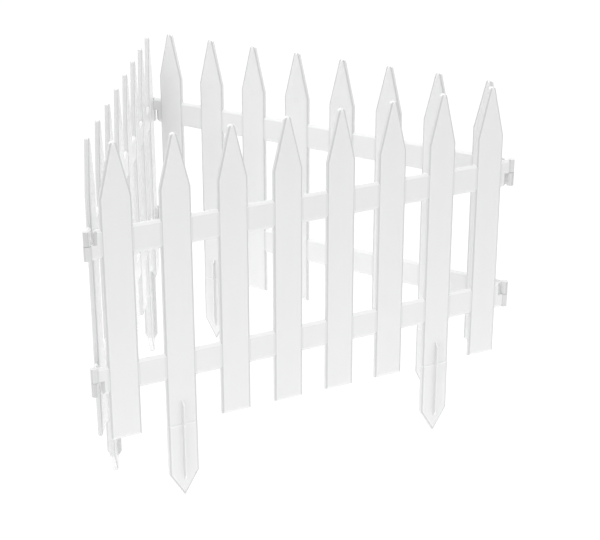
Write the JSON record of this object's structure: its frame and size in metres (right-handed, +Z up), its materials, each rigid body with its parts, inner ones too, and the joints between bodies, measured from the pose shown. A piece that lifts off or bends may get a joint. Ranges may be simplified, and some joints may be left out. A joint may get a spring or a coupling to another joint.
{
  "type": "decorative garden fence",
  "caption": "Triangular border fence of white moulded picket panels clipped together at stacked hinge knuckles, with pointed spikes that push into the ground.",
  "frame": {"origin": "centre of the flat bottom end of the front panel's fourth picket from the left, on the ground line and in the panel's middle plane", "axes": "+X along the front panel to the right, +Y from the front panel into the planting bed, +Z up; the spikes run below z = 0"},
  "size_m": [0.5756, 0.5042, 0.454],
  "materials": {
    "white_plastic": "satin white moulded polypropylene"
  },
  "bodies": {
    "front": {"front_panel": "white_plastic"},
    "left": {"left_panel": "white_plastic"},
    "back": {"back_panel": "white_plastic"}
  },
  "joints": [
    {"name": "front_left_hinge", "type": "hinge", "parent": "front", "child": "left", "pos_m": [-0.248, 0, 0], "axis": [0, 0, 1], "range_deg": [0, 120]},
    {"name": "back_left_hinge", "type": "hinge", "parent": "left", "child": "back", "pos_m": [0.0355, 0.49104, 0], "axis": [0, 0, 1], "range_deg": [0, 120]}
  ]
}
